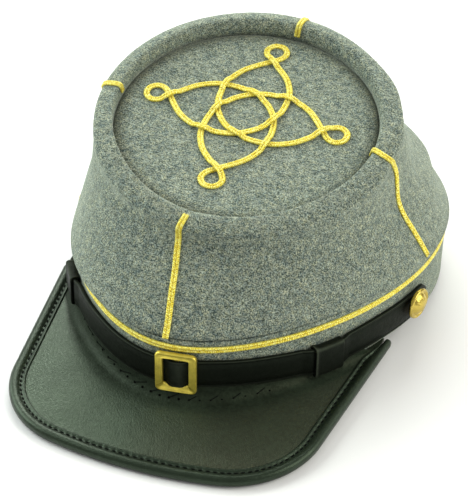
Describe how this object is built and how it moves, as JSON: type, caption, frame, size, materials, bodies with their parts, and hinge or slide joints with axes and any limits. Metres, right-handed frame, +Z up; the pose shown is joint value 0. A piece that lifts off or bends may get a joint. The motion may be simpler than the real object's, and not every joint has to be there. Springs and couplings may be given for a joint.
{
  "type": "kepi cap",
  "caption": "Grey wool kepi cap with gold braids and knot, black leather peak and chin strap, brass buckle and side buttons.",
  "frame": {"origin": "middle of the cap's bounding box on the table it rests on", "axes": "+Z up from the table, -Y out over the peak, +X to the wearer's left"},
  "size_m": [0.1722, 0.2446, 0.1049],
  "materials": {
    "grey_wool": "matte felted wool",
    "gold_braid": "satin metallic thread",
    "black_leather": "semi-gloss",
    "brass": "satin"
  },
  "bodies": {
    "root": {"crown": "grey_wool", "roof": "grey_wool", "band": "grey_wool", "roof_knot": "gold_braid", "braid_front": "gold_braid", "braid_left": "gold_braid", "braid_back": "gold_braid", "braid_right": "gold_braid", "braid_band": "gold_braid", "peak": "black_leather", "peak_binding": "black_leather", "chin_strap": "black_leather", "keeper_left": "black_leather", "keeper_right": "black_leather", "buckle": "brass", "button_left": "brass", "button_right": "brass"}
  },
  "joints": []
}
